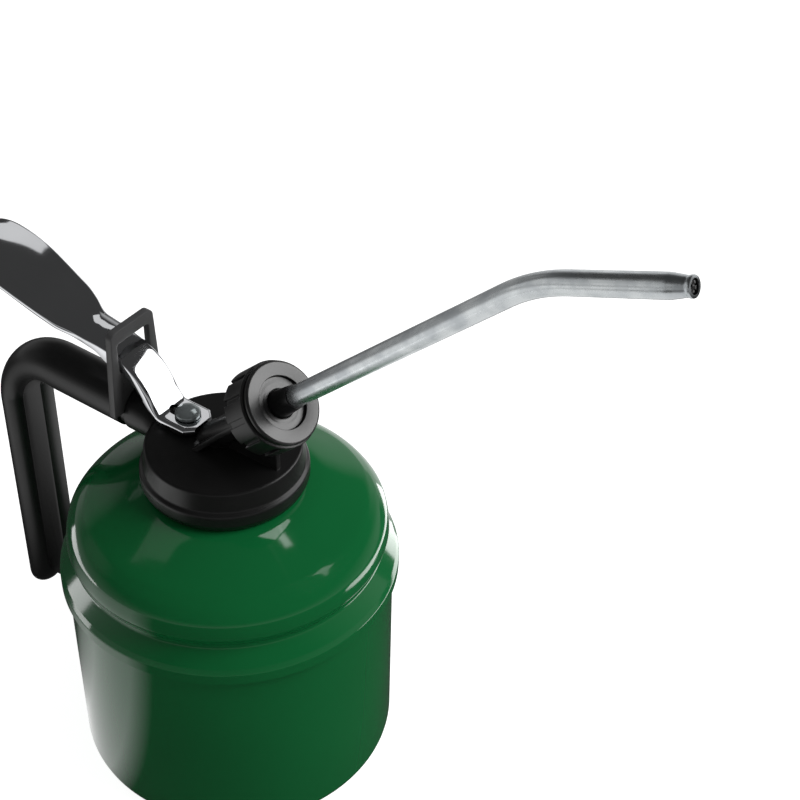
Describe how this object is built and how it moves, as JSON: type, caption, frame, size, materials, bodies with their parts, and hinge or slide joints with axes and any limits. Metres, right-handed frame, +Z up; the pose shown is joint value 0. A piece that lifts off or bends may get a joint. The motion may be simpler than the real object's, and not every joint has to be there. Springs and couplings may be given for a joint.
{
  "type": "pump oil can",
  "caption": "Round green metal oil can with a black screw-on pump head, hooked hand grip, thumb lever and long bent spout that swivels in a union nut.",
  "frame": {"origin": "centre of the can's flat base", "axes": "+Z up along the can's axis, +X towards the spout, -X towards the grip, Y=0 the plane of symmetry"},
  "size_m": [0.2273, 0.1, 0.2213],
  "materials": {
    "green_paint": "glossy green paint on pressed steel",
    "black_plastic": "satin black moulding",
    "black_steel": "black coated steel",
    "chrome": "bright chrome plate",
    "zinc": "zinc-plated steel",
    "steel": "plain steel",
    "brass": "machined brass",
    "rubber": "oil-proof rubber",
    "clear_plastic": "milky plastic tube"
  },
  "bodies": {
    "can": {"can_body": "green_paint", "can_dome": "green_paint", "neck_collar": "steel"},
    "cap_seal": {"cap_gasket": "rubber"},
    "head": {"pump_head": "black_plastic", "fulcrum_bracket": "black_steel", "rod_bush": "black_plastic", "rod_seal": "rubber", "spring_washer": "steel", "return_spring": "steel", "pump_barrel": "brass", "foot_valve": "brass", "suction_tube": "clear_plastic", "suction_strainer": "brass", "outlet_stop": "brass"},
    "lever": {"lever": "chrome"},
    "rod": {"lever_screw": "zinc", "piston_rod": "steel", "piston": "brass", "piston_cup": "rubber", "piston_nut": "steel"},
    "foot_ball": {"foot_ball": "steel"},
    "outlet_ball": {"outlet_ball": "steel"},
    "spout_seal": {"spout_gasket": "rubber"},
    "union_nut": {"union_nut": "black_plastic"},
    "spout": {"spout_nipple": "black_plastic", "spout_tube": "zinc", "spout_nozzle": "steel"}
  },
  "joints": [
    {"name": "cap_lift", "type": "slide", "parent": "can", "child": "cap_seal", "axis": [0, 0, 1], "range_m": [0, 0.00375]},
    {"name": "head_turn", "type": "hinge", "parent": "cap_seal", "child": "head", "pos_m": [0, 0, 0.1], "axis": [0, 0, 1], "range_deg": [0, 540]},
    {"name": "lever_press", "type": "hinge", "parent": "head", "child": "lever", "pos_m": [-0.0328, 0, 0.124], "axis": [0, -1, 0], "range_deg": [0, 20], "stiffness_Nm_per_rad": 0.3, "springref_deg": -11.46},
    {"name": "rod_lift", "type": "slide", "parent": "head", "child": "rod", "axis": [0, 0, 1], "range_m": [0, 0.00789], "deforming": ["return_spring"]},
    {"name": "foot_ball_lift", "type": "slide", "parent": "head", "child": "foot_ball", "axis": [0, 0, 1], "range_m": [0, 0.0008]},
    {"name": "outlet_ball_lift", "type": "slide", "parent": "head", "child": "outlet_ball", "axis": [0.723, 0, 0.6909], "range_m": [0, 0.0012]},
    {"name": "spout_seal_out", "type": "slide", "parent": "head", "child": "spout_seal", "axis": [0.723, 0, 0.6909], "range_m": [0, 0.003]},
    {"name": "nut_turn", "type": "hinge", "parent": "spout_seal", "child": "union_nut", "pos_m": [0.02237, 0, 0.13601], "axis": [0.723, 0, 0.6909], "range_deg": [0, 720]},
    {"name": "spout_swivel", "type": "hinge", "parent": "spout_seal", "child": "spout", "pos_m": [0.02237, 0, 0.13601], "axis": [0.723, 0, 0.6909], "range_deg": [-180, 180]}
  ],
  "couplings": [
    {"joint": "head_turn", "follows": "cap_lift", "rad_per_m": 2513.3},
    {"joint": "lever_press", "follows": "rod_lift", "rad_per_m": 44.248},
    {"joint": "nut_turn", "follows": "spout_seal_out", "rad_per_m": 4188.8}
  ]
}
